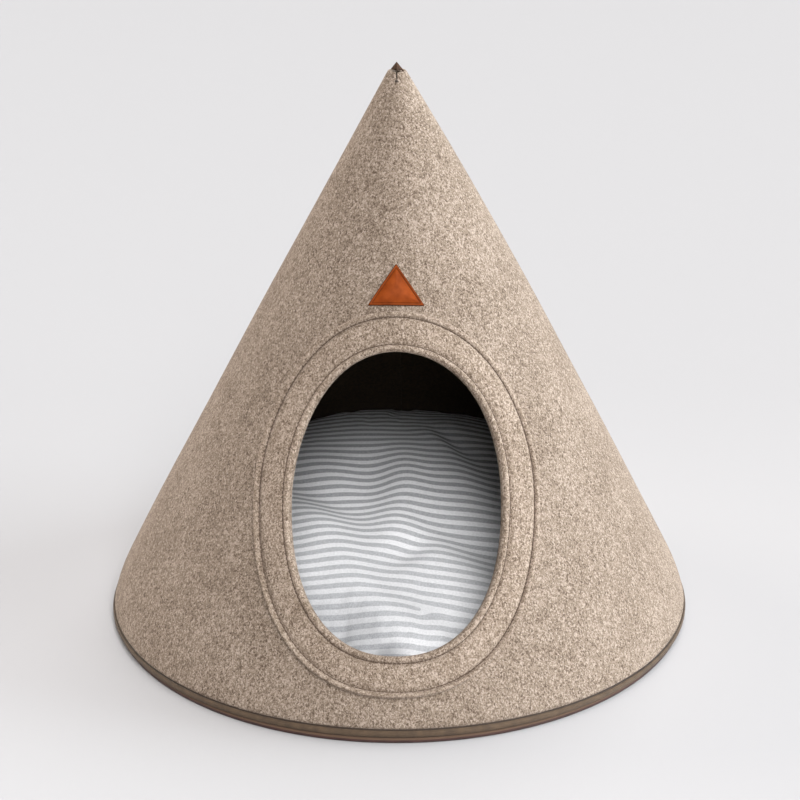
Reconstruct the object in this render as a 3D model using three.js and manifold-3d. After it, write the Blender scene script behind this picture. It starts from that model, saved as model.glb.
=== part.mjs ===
// Dog teepee: a felt cone on a round base, with an oval doorway and a striped cushion inside.
// Millimetres, +Z up, doorway towards -Y, origin on the floor under the middle of the base.

import * as THREE from 'three';
import { mergeVertices } from 'three/addons/utils/BufferGeometryUtils.js';
import Module from 'manifold-3d';

const wasm = await Module();
wasm.setup();

// Base and cone
const BASE_RADIUS = 300;
const BASE_THICKNESS = 6;
const BASE_EDGE = 1.5; // its rounded rim
const CONE_FLOOR_RADIUS = 305.5; // where the cone's outer face would meet the floor
const CONE_APEX = 575; // where its sides would meet
const CONE_BULGE = 4.7; // outward swelling at half height
const SIDE_BULGE = 2.3; // more swelling towards +X, less towards -X
const FOOT_HEIGHT = 24; // lowest stretch, which the binding draws in
const FOOT_TUCK = 7;
const WALL_FOOT = 8;
const WALL_TOP = 560;
const FELT = 5;
const LINING = 1.5;
const LINING_TOP = 548;
const GAP = 0.4; // between pieces that lie on each other
const WALL_ROWS = [WALL_FOOT, 16, FOOT_HEIGHT, 110, 210, 320, 430, 520];
const ROUND_STEPS = 64;

// Slit at the front of the tip
const SLIT_WIDTH = 2.4;
const SLIT_DEPTH = 11;
const CUT_REACH = 18; // how far a cutting tool runs past the wall

// Doorway, measured on the cone's face: across from the front line, and up the slope from the floor
const FRONT = -Math.PI / 2;
const DOOR_UP = 224;
const DOOR_HALF_WIDTH = 104.5;
const DOOR_HALF_HEIGHT = 141;
const DOOR_LOWER_POWER = 2.35; // the lower half is a little fuller than an ellipse
const LINING_SET_BACK = 7; // from the felt's edge

// Facing's section: distance from the doorway's edge, and lift off the felt
const FACING_BACK = 0.6;
const FACING_SECTION = [
  { out: 0, lift: FACING_BACK },
  { out: 0, lift: 1.8 },
  { out: 1.4, lift: 3.1 },
  { out: 4, lift: 3.5 },
  { out: 6.8, lift: 2.9 },
  { out: 8, lift: 1.6 },
  { out: 9.4, lift: 2.7 },
  { out: 14, lift: 3.1 },
  { out: 28, lift: 3.1 },
  { out: 32.6, lift: 2.7 },
  { out: 34, lift: 1.6 },
  { out: 35.4, lift: 2.8 },
  { out: 37.6, lift: 2.9 },
  { out: 39, lift: 1.7 },
  { out: 39, lift: FACING_BACK },
  { out: 30, lift: FACING_BACK },
  { out: 20, lift: FACING_BACK },
  { out: 10, lift: FACING_BACK },
];
const FACING_STEPS = 64;

// Brown tape folded round the wall's lower edge
const TAPE = 1.2;
const TAPE_TOP = 15;
const TAPE_INNER_TOP = 17;

// Leather patch above the doorway
const PATCH_WIDTH = 52;
const PATCH_HEIGHT = 39;
const PATCH_UP = 409.5;
const PATCH_TIP = 3; // width of its blunt top corner
const PATCH_BACK = 0.6;
const PATCH_FRONT = 2.4;
const PATCH_EDGE = 1.5;
const PATCH_ROWS = 6;
const PATCH_COLUMNS = 8;

// Four-sided cap on the tip
const CAP_RADIUS = 8.2;
const CAP_EDGE = 0.8;
const CAP_TOP = 566;

// Cushion: a domed top out to its shoulder, then a rim that turns under to the flat bottom.
// It grows thicker towards the back, and soft folds lie across its top.
const CUSHION_FLOOR = BASE_THICKNESS + GAP;
const CUSHION_CROWN = 115;
const CUSHION_SHOULDER = { radius: 222, height: 79 };
const CUSHION_TOP_ROWS = 12;
const CUSHION_RIM = [
  { radius: 222, height: 0 },
  { radius: 248, height: 7 },
  { radius: 259, height: 22 },
  { radius: 255, height: 40.5 },
  { radius: 246, height: 56.5 },
  { radius: 240, height: 65.5 },
  { radius: 233, height: 73.5 },
];
const CUSHION_BACK_RISE = 0.002; // added share of thickness for each millimetre towards +Y
const CUSHION_FOLD_FADE = [210, 250]; // radii between which the folds die away
const CUSHION_STEPS = 64;
const CUSHION_FOLDS = [
  { x: 35, y: 45, turn: 75, length: 190, width: 75, rise: 6 },
  { x: 0, y: 0, turn: 85, length: 90, width: 24, rise: 8 },
  { x: -25, y: 20, turn: 110, length: 65, width: 35, rise: -14 },
  { x: 50, y: 80, turn: -75, length: 115, width: 55, rise: -15 },
  { x: 50, y: 135, turn: 90, length: 45, width: 35, rise: 8 },
  { x: -85, y: 5, turn: -45, length: 80, width: 24, rise: -12 },
  { x: -55, y: -100, turn: -65, length: 100, width: 24, rise: 7 },
  { x: 10, y: -90, turn: -40, length: 15, width: 30, rise: -8 },
  { x: 75, y: -70, turn: -35, length: 95, width: 26, rise: -10 },
  { x: 57, y: 45, turn: 115, length: 60, width: 24, rise: 9 },
  { x: 15, y: -190, turn: -30, length: 125, width: 26, rise: 6 },
];

const MATERIALS = {
  felt: { color: 0xa99784, roughness: 0.95, metalness: 0 },
  facingFelt: { color: 0xae9c8d, roughness: 0.95, metalness: 0 },
  lining: { color: 0x2a1f17, roughness: 0.95, metalness: 0 },
  tape: { color: 0x685746, roughness: 0.85, metalness: 0 },
  base: { color: 0x5c4b3c, roughness: 0.9, metalness: 0 },
  leather: { color: 0x9a5b3c, roughness: 0.55, metalness: 0 },
  cap: { color: 0x4a382b, roughness: 0.7, metalness: 0 },
  cotton: { color: 0xb9b9bb, roughness: 0.9, metalness: 0 },
};

// Radius of the felt's outer face; the two swellings peak at one, at a half and two thirds of the height
function coneRadius(z, theta) {
  const up = z / CONE_APEX;
  const swell = CONE_BULGE * 4 * up * (1 - up);
  const sideSwell = SIDE_BULGE * 6.75 * up * up * (1 - up) * Math.cos(theta);
  const tuck = FOOT_TUCK * Math.max(0, 1 - z / FOOT_HEIGHT) ** 2;
  return CONE_FLOOR_RADIUS * (1 - up) + swell + sideSwell - tuck;
}

// Point on the cone at a height and angle, sunk by a depth square to its face
function wallPoint(theta, z, depth) {
  const step = 1;
  const fall = (coneRadius(z, theta) - coneRadius(z + step, theta)) / step;
  const length = Math.hypot(1, fall);
  const radius = coneRadius(z, theta) - depth / length;
  const height = z - (depth * fall) / length;
  return new THREE.Vector3(radius * Math.cos(theta), radius * Math.sin(theta), height);
}

// Point on the cone's front from its place across and up the slope, lifted off the face
function facePoint(across, up, lift) {
  const z = (up * CONE_APEX) / Math.hypot(CONE_APEX, CONE_FLOOR_RADIUS);
  const theta = FRONT + across / coneRadius(z, FRONT);
  return wallPoint(theta, z, -lift);
}

function doorPoint(angle, grow, lift) {
  const power = Math.sin(angle) < 0 ? DOOR_LOWER_POWER : 2;
  const shape = (value) => Math.sign(value) * Math.abs(value) ** (2 / power);
  const across = (DOOR_HALF_WIDTH + grow) * shape(Math.cos(angle));
  const up = DOOR_UP + (DOOR_HALF_HEIGHT + grow) * shape(Math.sin(angle));
  return facePoint(across, up, lift);
}

function geometryFrom(points, triangles) {
  const geometry = new THREE.BufferGeometry();
  const flat = points.flatMap((point) => point.toArray());
  geometry.setAttribute('position', new THREE.Float32BufferAttribute(flat, 3));
  geometry.setIndex(triangles);
  return geometry;
}

// Skin over sections of equal length, each a closed loop that runs clockwise seen along the sweep
function loft(sections, closed) {
  const size = sections[0].length;
  const count = sections.length;
  const triangles = [];
  const last = closed ? count : count - 1;
  for (let i = 0; i < last; i += 1) {
    for (let j = 0; j < size; j += 1) {
      const a = i * size + j;
      const b = i * size + ((j + 1) % size);
      const c = ((i + 1) % count) * size + ((j + 1) % size);
      const d = ((i + 1) % count) * size + j;
      triangles.push(a, b, c, a, c, d);
    }
  }
  if (!closed) {
    closeEnd(triangles, 0, size, false);
    closeEnd(triangles, (count - 1) * size, size, true);
  }
  return geometryFrom(sections.flat(), triangles);
}

// Fills a thin end section by joining its front half to its back half
function closeEnd(triangles, start, size, turned) {
  for (let j = 0; j < size / 2 - 1; j += 1) {
    const a = start + j;
    const b = start + j + 1;
    const c = start + size - 2 - j;
    const d = start + size - 1 - j;
    const faces = turned ? [a, b, c, a, c, d] : [a, c, b, a, d, c];
    triangles.push(...faces);
  }
}

function solidOf(geometry) {
  const bare = geometry.clone();
  bare.deleteAttribute('normal');
  bare.deleteAttribute('uv');
  const merged = mergeVertices(bare);
  const vertProperties = new Float32Array(merged.attributes.position.array);
  const triVerts = new Uint32Array(merged.index.array);
  return new wasm.Manifold(new wasm.Mesh({ numProp: 3, vertProperties, triVerts }));
}

function cut(geometry, ...tools) {
  let solid = solidOf(geometry);
  for (const tool of tools) {
    solid = solid.subtract(solidOf(tool));
  }
  const mesh = solid.getMesh();
  const result = new THREE.BufferGeometry();
  result.setAttribute('position', new THREE.BufferAttribute(mesh.vertProperties, 3));
  result.setIndex(new THREE.BufferAttribute(mesh.triVerts, 1));
  return result;
}

function turnAngles(steps) {
  return Array.from({ length: steps }, (_, i) => (2 * Math.PI * i) / steps);
}

// Cone-shaped sheet between two depths under the felt's outer face
function coneSheet(outerDepth, innerDepth, top) {
  const rows = [...WALL_ROWS, top];
  const sections = turnAngles(ROUND_STEPS).map((theta) => [
    ...rows.map((z) => wallPoint(theta, z, outerDepth)).reverse(),
    ...rows.map((z) => wallPoint(theta, z, innerDepth)),
  ]);
  return loft(sections, true);
}

// Plug through the wall with the doorway's outline
function doorPlug(grow) {
  const angles = turnAngles(FACING_STEPS);
  const outer = angles.map((angle) => doorPoint(angle, grow, CUT_REACH));
  const inner = angles.map((angle) => doorPoint(angle, grow, -CUT_REACH));
  const middles = [facePoint(0, DOOR_UP, CUT_REACH), facePoint(0, DOOR_UP, -CUT_REACH)];
  const points = [...outer, ...inner, ...middles];
  const outerMiddle = points.length - 2;
  const innerMiddle = points.length - 1;
  const triangles = [];
  for (let i = 0; i < FACING_STEPS; i += 1) {
    const next = (i + 1) % FACING_STEPS;
    const back = i + FACING_STEPS;
    const nextBack = next + FACING_STEPS;
    triangles.push(i, back, next, next, back, nextBack);
    triangles.push(outerMiddle, i, next, innerMiddle, nextBack, back);
  }
  return geometryFrom(points, triangles);
}

// Wedge that opens the front of the tip, as tall again above the felt as it is deep
function slitWedge() {
  const wedge = new THREE.Shape();
  wedge.moveTo(0, -SLIT_DEPTH);
  wedge.lineTo(SLIT_WIDTH, SLIT_DEPTH);
  wedge.lineTo(-SLIT_WIDTH, SLIT_DEPTH);
  wedge.closePath();
  const geometry = new THREE.ExtrudeGeometry(wedge, { depth: CUT_REACH, bevelEnabled: false });
  geometry.rotateX(Math.PI / 2);
  geometry.translate(0, 0, WALL_TOP);
  return geometry;
}

function feltWall() {
  return cut(coneSheet(0, FELT, WALL_TOP), doorPlug(0), slitWedge());
}

function wallLining() {
  const outer = FELT + GAP;
  return cut(coneSheet(outer, outer + LINING, LINING_TOP), doorPlug(LINING_SET_BACK));
}

function doorwayFacing() {
  const sections = turnAngles(FACING_STEPS).map((angle) =>
    FACING_SECTION.map((row) => doorPoint(angle, row.out, row.lift)),
  );
  return loft(sections, true);
}

// Round piece from a section of radius and height, turned about +Z
function turned(profile, steps) {
  const geometry = new THREE.LatheGeometry(profile, steps);
  geometry.rotateX(Math.PI / 2);
  geometry.deleteAttribute('normal');
  geometry.deleteAttribute('uv');
  return mergeVertices(geometry, 0.001);
}

// Tape folded round the lower edge of the felt and its lining
function hemBinding() {
  const low = BASE_THICKNESS + GAP;
  const bed = low + TAPE / 2;
  const outer = -GAP - TAPE;
  const inner = FELT + GAP + LINING + GAP + TAPE;
  const at = (z, depth) => {
    const point = wallPoint(0, z, depth);
    return new THREE.Vector2(point.x, point.z);
  };
  const level = (z, depth) => new THREE.Vector2(at(z, depth).x, z);
  const profile = [
    level(low, outer + TAPE / 2),
    level(bed, outer),
    at(TAPE_TOP, outer),
    at(TAPE_TOP, outer + TAPE),
    level(bed, outer + TAPE),
    level(bed, inner - TAPE),
    at(TAPE_INNER_TOP, inner - TAPE),
    at(TAPE_INNER_TOP, inner),
    level(low, inner),
  ];
  return turned([...profile, profile[0]], ROUND_STEPS);
}

function basePanel() {
  const profile = [
    new THREE.Vector2(0, 0),
    new THREE.Vector2(BASE_RADIUS - BASE_EDGE, 0),
    new THREE.Vector2(BASE_RADIUS, BASE_EDGE),
    new THREE.Vector2(BASE_RADIUS, BASE_THICKNESS - BASE_EDGE),
    new THREE.Vector2(BASE_RADIUS - BASE_EDGE, BASE_THICKNESS),
    new THREE.Vector2(0, BASE_THICKNESS),
  ];
  return turned(profile, ROUND_STEPS);
}

// Height that the folds add to the cushion's top
function foldRise(x, y) {
  let rise = 0;
  for (const fold of CUSHION_FOLDS) {
    const turn = THREE.MathUtils.degToRad(fold.turn);
    const along = (x - fold.x) * Math.cos(turn) + (y - fold.y) * Math.sin(turn);
    const across = (y - fold.y) * Math.cos(turn) - (x - fold.x) * Math.sin(turn);
    rise += fold.rise * Math.exp(-((along / fold.length) ** 2) - (across / fold.width) ** 2);
  }
  return rise;
}

// Half section of the cushion, from the middle of its bottom round the rim to the crown
function cushionSection() {
  const drop = CUSHION_CROWN - CUSHION_SHOULDER.height;
  const profile = [new THREE.Vector2(0, 0), new THREE.Vector2(CUSHION_SHOULDER.radius / 2, 0)];
  for (const row of CUSHION_RIM) {
    profile.push(new THREE.Vector2(row.radius, row.height));
  }
  for (let i = CUSHION_TOP_ROWS; i >= 0; i -= 1) {
    const share = i / CUSHION_TOP_ROWS;
    profile.push(new THREE.Vector2(CUSHION_SHOULDER.radius * share, CUSHION_CROWN - drop * share ** 2));
  }
  return profile;
}

function cushion() {
  const geometry = turned(cushionSection(), CUSHION_STEPS);
  const position = geometry.attributes.position;
  const [fadeFrom, fadeTo] = CUSHION_FOLD_FADE;
  for (let i = 0; i < position.count; i += 1) {
    const x = position.getX(i);
    const y = position.getY(i);
    const height = position.getZ(i);
    const onTop = height >= CUSHION_SHOULDER.height / 2 ? 1 : 0;
    const share = onTop * (1 - THREE.MathUtils.smoothstep(Math.hypot(x, y), fadeFrom, fadeTo));
    position.setZ(i, CUSHION_FLOOR + height * (1 + CUSHION_BACK_RISE * y) + share * foldRise(x, y));
  }
  return geometry;
}

function leatherPatch() {
  const sections = [];
  for (let i = 0; i <= PATCH_ROWS; i += 1) {
    const rise = i / PATCH_ROWS;
    const half = THREE.MathUtils.lerp(PATCH_WIDTH, PATCH_TIP, rise) / 2;
    const up = PATCH_UP + PATCH_HEIGHT * rise;
    const front = [];
    const back = [];
    for (let j = 0; j <= PATCH_COLUMNS; j += 1) {
      const side = (2 * j) / PATCH_COLUMNS - 1;
      const atRim = i === 0 || i === PATCH_ROWS || Math.abs(side) === 1;
      const lift = atRim ? PATCH_EDGE : PATCH_FRONT;
      front.push(facePoint(half * side, up, lift));
      back.unshift(facePoint(half * side, up, PATCH_BACK));
    }
    sections.push([...front, ...back]);
  }
  return loft(sections, false);
}

function tipCap() {
  const low = WALL_TOP + GAP;
  const profile = [
    new THREE.Vector2(0, low),
    new THREE.Vector2(CAP_RADIUS, low),
    new THREE.Vector2(CAP_RADIUS, low + CAP_EDGE),
    new THREE.Vector2(0, CAP_TOP),
  ];
  return turned(profile, 4);
}

function piece(name, geometry, look) {
  const mesh = new THREE.Mesh(geometry, new THREE.MeshStandardMaterial(look));
  mesh.name = name;
  return mesh;
}

const teepee = new THREE.Group();
teepee.add(
  piece('base_panel', basePanel(), MATERIALS.base),
  piece('hem_binding', hemBinding(), MATERIALS.tape),
  piece('felt_wall', feltWall(), MATERIALS.felt),
  piece('wall_lining', wallLining(), MATERIALS.lining),
  piece('doorway_facing', doorwayFacing(), MATERIALS.facingFelt),
  piece('leather_patch', leatherPatch(), MATERIALS.leather),
  piece('tip_cap', tipCap(), MATERIALS.cap),
  piece('cushion', cushion(), MATERIALS.cotton),
);

export default teepee;
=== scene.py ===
"""Looks of a dog teepee: a heathered felt cone with a stitched doorway, and a striped cushion inside.

Shapes are worked out in millimetres in the part's own frame, and become metres when a mesh is made.
"""

import math
from collections import namedtuple

import bmesh
import bpy
import numpy as np
from mathutils import Matrix, Vector


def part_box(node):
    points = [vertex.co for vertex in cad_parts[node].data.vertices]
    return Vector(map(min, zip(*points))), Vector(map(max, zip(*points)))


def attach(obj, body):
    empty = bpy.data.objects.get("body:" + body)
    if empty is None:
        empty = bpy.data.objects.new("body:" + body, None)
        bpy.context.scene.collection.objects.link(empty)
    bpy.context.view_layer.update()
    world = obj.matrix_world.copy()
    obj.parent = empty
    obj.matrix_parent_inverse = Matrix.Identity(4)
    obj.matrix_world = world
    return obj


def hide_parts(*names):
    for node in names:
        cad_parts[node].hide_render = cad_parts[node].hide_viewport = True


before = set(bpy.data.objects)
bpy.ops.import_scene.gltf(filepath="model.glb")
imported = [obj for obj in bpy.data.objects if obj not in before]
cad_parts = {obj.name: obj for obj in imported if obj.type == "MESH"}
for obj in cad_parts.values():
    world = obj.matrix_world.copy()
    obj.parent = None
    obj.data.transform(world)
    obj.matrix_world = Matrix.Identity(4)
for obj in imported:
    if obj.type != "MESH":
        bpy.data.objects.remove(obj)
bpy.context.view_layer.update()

MM = 0.001


def node_box(name):
    """Lowest and highest corner of one of the part's solids, in millimetres"""
    low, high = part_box(name)
    return np.array(low) / MM, np.array(high) / MM


# Cone: the felt's outer face
CONE_FLOOR_RADIUS = 305.5
CONE_APEX = 575
CONE_BULGE = 4.7
SIDE_BULGE = 2.3  # the right side bulges by this much more, and the left by as much less
FOOT_HEIGHT = 24
FOOT_TUCK = 7
SIDE_FOOT_HEIGHT = 45  # the foot is drawn in from higher up at the sides
SIDE_FOOT_TUCK = 7.5
WALL_FOOT = 6.5
WALL_TOP = node_box("felt_wall")[1][2]
FELT = 5  # thicknesses of the two layers, and the gap between pieces
LINING = 1.5
GAP = 0.4
LINING_TOP = 556
FRONT = -math.pi / 2

# Slow unevenness of the felt: waves round the cone, waves up it, phase and height
Wave = namedtuple("Wave", "round up phase rise")
FELT_WAVES = (
    Wave(2, 1.5, 0.6, 0.5),
    Wave(3, 2.5, 2.1, 0.4),
    Wave(5, 2.0, 4.0, 0.3),
    Wave(7, 3.5, 1.2, 0.2),
)

# Valley that the hem's seam draws into the felt, just above the tape
DITCH_HEIGHT = 11.4
DITCH_WIDTH = 1.6
DITCH_DEPTH = 2.4
HEM_SIDE_DROP = 3  # the seam and the tape's top lie this much lower at the sides

# Grid of a rolled sheet: lines round the doorway, steps from it to the border, and its rounded cut edge
FOOT_LINES = 224
SEAM_LINES = 96
TIP_LINES = 96
FACE_STEPS = 56
BACK_STEPS = 16
EDGE_STEPS = 5
STEP_GRADING = 1.3  # packs the steps closer near the doorway
CUT_EDGE = 1.2
SLIT_HALF_WIDTH = 0.9
SLIT_DEPTH = 8
SLIT_GRADING = 1.8  # packs the lines closer at the slit

# Doorway on the cone's face
DOOR_UP = 224
DOOR_HALF_WIDTH = 104.5
DOOR_UPPER_HEIGHT = 143.8
DOOR_LOWER_HEIGHT = 141
DOOR_UPPER_POWER = 1.95
DOOR_LOWER_POWER = 2.35
DOOR_TRIM = 3  # by which the doorway's upper left is cut tighter
DOOR_TRIM_REACH = 60
LINING_SET_BACK = 7

# Facing: distances of its seams and edge from the doorway's edge, the lift of its back, and its grid
SEAMS = (7.2, 35.3)
FACING_EDGE = 41.8
FACING_BACK = 0.6
FACING_BACK_POINTS = 6
FACING_LINES = 1024

# Shares by which the facing is narrower at the doorway's upper corners, top and foot
FACING_CORNER_DRAW = 0.125
FACING_TOP_DRAW = 0.09
FACING_FOOT_DRAW = 0.06

# Bands of the facing between its edges and seams, with the lift at their sides and middle
Band = namedtuple("Band", "start end low high power points")
FACING_BANDS = (
    Band(0, SEAMS[0], 0.6, 3.7, 2.8, 14),
    Band(SEAMS[0], SEAMS[1], 0.6, 3.0, 7, 20),
    Band(SEAMS[1], FACING_EDGE, 0.8, 4.6, 2.6, 14),
)
LIP_LEAN = 0.45  # the outer lip is this share higher at the doorway's lower left, and lower opposite
LIP_SIDE = 230  # degrees
PUCKER_DEPTH = 0.35
PUCKER_WIDTH = 2.2

# Thread of the facing's seams, of the hem and of the tack at the tip; the hem's thread is a continuous dark
# cord, partly painted shade for the shadow line above the tape
STITCH_PITCH = 4.2
STITCH_SHARE = 0.92
SEAM_SAMPLES = 4096
THREAD_RADIUS = 0.55
THREAD_END = 0.45  # share of its thickness at a stitch's ends
THREAD_RINGS = 8
THREAD_SIDES = 8
THREAD_LOW = 1.0
THREAD_BOW = 0.6
HEM_THREAD_RADIUS = 0.9
TACK_RADIUS = 1.2
TACK_HALF_LENGTH = 1.7
TACK_TAPER = 0.7  # share by which it is thinner at its ends

# Tape round the hem
TAPE = 1.2
TAPE_LOW = 5.2
TAPE_TOP = 10.4
TAPE_INNER_TOP = 14
TAPE_BELLY = 0.4  # its outer face stands out by this much
TAPE_BELLY_UP = 0.6  # at this share of its height
ROUND_LINES = 256
ROUNDING_PASSES = 2

# Base panel
BASE_RADIUS = node_box("base_panel")[1][0]
BASE_THICKNESS = node_box("base_panel")[1][2]
BASE_RIM = 4.9  # thinner at the rim, where the tape covers it
BASE_RIM_WIDTH = 12
BASE_RIM_SLOPE = 3
BASE_ROUNDING = 2.4
BASE_ROUNDING_POINTS = 7
BASE_SIDE_DRAW = 5  # by which the base is narrower at the sides
BASE_FRONT_REACH = 1.5  # and longer to the front

# Leather patch: a triangle with round corners, and its section from the edge inwards
PATCH_WIDTH = 54
PATCH_HEIGHT = 41
PATCH_UP = 409.5
PATCH_CORNER = 0.6
PATCH_BOW = 1.3  # lifts the middle of the lower edge, which then looks straight from in front
PATCH_BACK = 0.6
PATCH_SIDE_POINTS = 40
PATCH_CORNER_POINTS = 8
Step = namedtuple("Step", "inset lift")
PATCH_ROWS = (
    Step(0.3, PATCH_BACK),
    Step(0.0, 1.0),
    Step(0.1, 1.6),
    Step(0.5, 2.1),
    Step(1.1, 2.3),
    Step(1.7, 2.15),
    Step(2.1, 1.6),
    Step(2.5, 1.6),
    Step(2.9, 2.15),
    Step(3.8, 2.5),
    Step(6.0, 3.0),
    Step(9.0, 3.5),
    Step(12.0, 3.7),
)

# Cap on the tip, with shares of its height and size
CAP_RISE = 2  # its point stands out of its solid by this much
CAP_LOW = node_box("tip_cap")[0][2]
CAP_TOP = node_box("tip_cap")[1][2] + CAP_RISE
CAP_RADIUS = 5.4
CAP_RIDGE_POWER = 1.15  # 1 gives a sharp square, 2 a circle
CAP_FOOT_SIZE = 0.9
CAP_WIDEST = 0.1
CAP_LAST_ROW = 0.97
CAP_TAIL = 2.4
CAP_TAIL_DROP = 2.8
CAP_TAIL_SPREAD = 0.2
CAP_TAIL_TOP = 0.4
CAP_LINES = 96
CAP_ROWS = 16

# Cushion: section, folds and grid
CUSHION_FLOOR = node_box("cushion")[0][2]
CUSHION_CROWN = 115
CUSHION_BACK_RISE = 0.002
CUSHION_FADE_START = 210  # radii between which the folds die away
CUSHION_FADE_END = 250
CUSHION_CELLS = 104
CROWN_POINTS = 40
CLOTH_STEPS = 64
Row = namedtuple("Row", "radius height")
CUSHION_SHOULDER = Row(222, 79)
CUSHION_RIM = (
    Row(233, 73.5),
    Row(240, 65.5),
    Row(246, 56.5),
    Row(255, 40.5),
    Row(258, 30),
    Row(259, 22),
)
CUSHION_UNDER = (
    Row(0, 0),
    Row(222, 0),
    Row(248, 7),
    Row(257, 15),
    Row(259, 22),
)
Fold = namedtuple("Fold", "x y turn length width rise")
CUSHION_FOLDS = (
    Fold(35, 45, 75, 190, 75, 6),
    Fold(0, 0, 85, 90, 24, 8),
    Fold(-25, 20, 110, 65, 35, -14),
    Fold(50, 80, -75, 115, 55, -15),
    Fold(50, 135, 90, 45, 35, 8),
    Fold(-85, 11, -45, 80, 24, -12),
    Fold(-55, -100, -65, 100, 24, 7),
    Fold(10, -90, -40, 15, 30, -8),
    Fold(75, -70, -35, 95, 26, -10),
    Fold(57, 45, 115, 60, 24, 9),
    Fold(15, -190, -30, 125, 26, 6),
    Fold(-85, -215, 20, 40, 30, -10),
    Fold(-60, -205, 90, 45, 26, -6),
    Fold(68, -200, 90, 45, 26, -6),
    Fold(-40, 195, 0, 90, 45, 4),
    Fold(43, 98, -58, 42, 11, 3.5),
    Fold(57, 106, -58, 42, 11, -3.5),
)

# Cloth simulation that gives the cushion its creases
CUSHION_PRESSURE = 4
CUSHION_SPARE = 0.01  # share by which the cover is larger than the filling
CUSHION_QUALITY = 5
CUSHION_FRAMES = 20
CREASE_REACH = 3  # cells over which a movement counts as a crease
CREASE_LIMIT = 1.5

# Stripes of the cushion's cover
STRIPE_PERIOD = 12.25
STRIPE_START = 166
STRIPE_SKEW = 5.3  # degrees
STRIPE_SHARE = 0.5
STRIPE_SOFT = 0.03  # shares of a period by which its edge is soft and ragged
STRIPE_RAGGED = 0.05
STRIPES_LIT_DEPTH = -200  # painted light and shade: the grey stripes are paler near the doorway and darker deeper in, from this depth to the next
STRIPES_SHADED_DEPTH = 60

# A tuck in the cover takes up one stripe: its place, and the turns in degrees from its front
# between which the others spread
TUCK_X = 20
TUCK_Y = -168
TUCK_START = 0
TUCK_END = 110
TUCK_FADE = 5  # the stripe fades out over this distance

# Painted shade on the cover: darker towards its front left, and in a small spot at the middle of its front
PAINTED_SHADE_TURN = 30  # degrees from the front to the left
PAINTED_SHADE_START = 140
PAINTED_SHADE_FULL = 190
PAINTED_SHADE_LEFT = -25
PAINTED_SHADE_RIGHT = 15
PAINTED_SHADE_SHARE = 0.32
SHADE_SPOT_X = -9
SHADE_SPOT_Y = -222
SHADE_SPOT_HALF_WIDTH = 28
SHADE_SPOT_HALF_DEPTH = 20
SHADE_SPOT_SHARE = 0.55

# Screen colours of the materials, from 0 to 255, from dark to pale where there are several
FELT_COLOURS = (86, 69, 55), (135, 118, 102), (177, 160, 146)
LINING_COLOURS = (34, 25, 13), (60, 46, 26)
TAPE_COLOURS = (66, 50, 35), (88, 69, 50)
TAPE_RIB_COLOUR = (48, 35, 23)
BASE_COLOURS = (44, 23, 20), (62, 36, 31)
# paler colour of the painted highlight on the base's upper edge
BASE_HIGHLIGHT_COLOUR = (92, 70, 52)
BASE_THREAD_COLOUR = (60, 44, 35)
SEAM_THREAD_COLOURS = (62, 46, 34), (92, 72, 56)
# dark colours of the hem's thread, partly painted shade for the shadow line above the tape
HEM_THREAD_SHADE_COLOURS = (36, 26, 18), (60, 44, 32)
LEATHER_COLOURS = (104, 43, 10), (134, 61, 20)
LEATHER_LINE_COLOUR = (74, 38, 16)
CAP_COLOURS = (26, 15, 9), (78, 54, 38)
WHITE_COLOURS = (212, 212, 214), (236, 236, 238)
# Paler copy of the grey stripes, painted light near the doorway; the next line is the darker copy used
# deeper in the shade
LIT_STRIPE_COLOURS = (168, 169, 172), (206, 207, 210)
STRIPE_COLOURS = (138, 139, 142), (176, 177, 180)
# colour of the painted shade on the cushion's cover
PAINTED_SHADE_COLOUR = (40, 42, 48)
# floor colours near, middle and far: painted light and shade, paler near the part and darker further back
FLOOR_COLOURS = (174, 172, 173), (165, 163, 164), (161, 159, 160)
NOISE_LOW = 0.3  # a noise runs from its dark colour to its pale one between these
NOISE_HIGH = 0.7

# Felt: fibres that are longer upwards than across, with shares of tufts and clouds
FELT_BRIGHTNESS = 0.83
FACING_BRIGHTNESS = 0.93
FIBRE_STRETCH = 1.4
TUFT_SHARE = 0.3
CLOUD_SHARE = 0.15

# Tape and base cover: how strongly their threads show, and the painted highlight that makes the base's upper
# edge paler
TAPE_RIB_SHARE = 0.25
BASE_THREAD_SHARE = 0.2
BASE_HIGHLIGHT_SHARE = 0.8
BASE_HIGHLIGHT_LOW = 3.2
BASE_HIGHLIGHT_TOP = 4

# Leather: distances from the patch's edge between which its dark rim ends, and its line starts and ends
RIM_END = (0.4, 1.3)
LINE_START = (1.6, 2.1)
LINE_END = (2.5, 3.0)
RIM_SHARE = 0.8
LINE_SHARE = 0.55
LEATHER_GRAIN = 0.7

# Camera: place in metres, turn, tilt and roll in degrees
CAMERA_PLACE = (0.0298, -2.0652, 1.0472)
CAMERA_TURN = 0.78
CAMERA_TILT = 68.19
CAMERA_ROLL = -0.27
CAMERA_LENS = 99
CAMERA_SENSOR = 36

# Lights: turn from the front to the right, rise and width of the glow in degrees, power and colour
Light = namedtuple("Light", "name turn rise spread power colour")
WHITE = (1.0, 1.0, 1.0)
LIGHTS = (
    Light("front", 15, 48, 36, 3.1, WHITE),
    Light("front low", 5, 30, 26, 1.1, WHITE),
    Light("right front", 65, 6, 45, 2.0, (0.93, 1.0, 1.04)),
    Light("right", 95, 8, 45, 5.4, (0.91, 1.0, 1.05)),
    Light("back", 160, 55, 50, 2.4, WHITE),
    Light("left", -118, 6, 45, 2.9, (1.08, 1.0, 0.9)),
)
WORLD_POWER = 0.02

# Floor, in metres: its colour darkens slightly from the near depth on, painted shade for the light falling
# off further back
FLOOR_SIZE = 40
FLOOR_NEAR = -0.5
FLOOR_MIDDLE = 0.6
FLOOR_FAR = 3.5


# Places on the cone

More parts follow.
